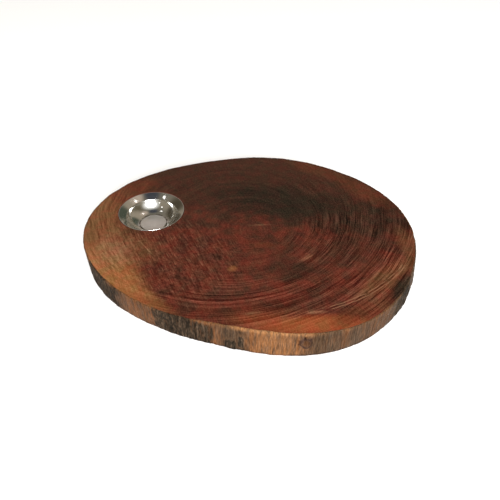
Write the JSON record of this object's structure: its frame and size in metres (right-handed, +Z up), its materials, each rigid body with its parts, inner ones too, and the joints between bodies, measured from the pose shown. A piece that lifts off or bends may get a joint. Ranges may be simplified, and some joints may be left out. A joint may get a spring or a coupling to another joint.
{
  "type": "chip and dip server",
  "caption": "Oval live-edge wood slice to serve chips on, with a lift-out steel dip bowl let into one end, on screwed rubber feet.",
  "frame": {"origin": "on the table, under the middle of the object's box", "axes": "+Z up, +X along the slice's longest side with the dip bowl at the -X end, +Y away from the user"},
  "size_m": [0.4096, 0.3432, 0.0388],
  "materials": {
    "oiled_hardwood": "oiled, satin, with growth rings on the faces and a weathered live edge",
    "polished_steel": "mirror-polished collar and wall, satin base",
    "zinc_plated_steel": "bright zinc plating, slightly dull",
    "black_rubber": "matt moulded rubber"
  },
  "bodies": {
    "board": {"board": "oiled_hardwood", "foot_1": "black_rubber", "foot_2": "black_rubber", "foot_3": "black_rubber", "foot_4": "black_rubber", "foot_washer_1": "zinc_plated_steel", "foot_washer_2": "zinc_plated_steel", "foot_washer_3": "zinc_plated_steel", "foot_washer_4": "zinc_plated_steel", "foot_screw_1": "zinc_plated_steel", "foot_screw_2": "zinc_plated_steel", "foot_screw_3": "zinc_plated_steel", "foot_screw_4": "zinc_plated_steel"},
    "dip_bowl": {"dip_bowl": "polished_steel"}
  },
  "joints": [
    {"name": "bowl_lift", "type": "slide", "parent": "board", "child": "dip_bowl", "axis": [0, 0, 1], "range_m": [0, 0.06]}
  ]
}
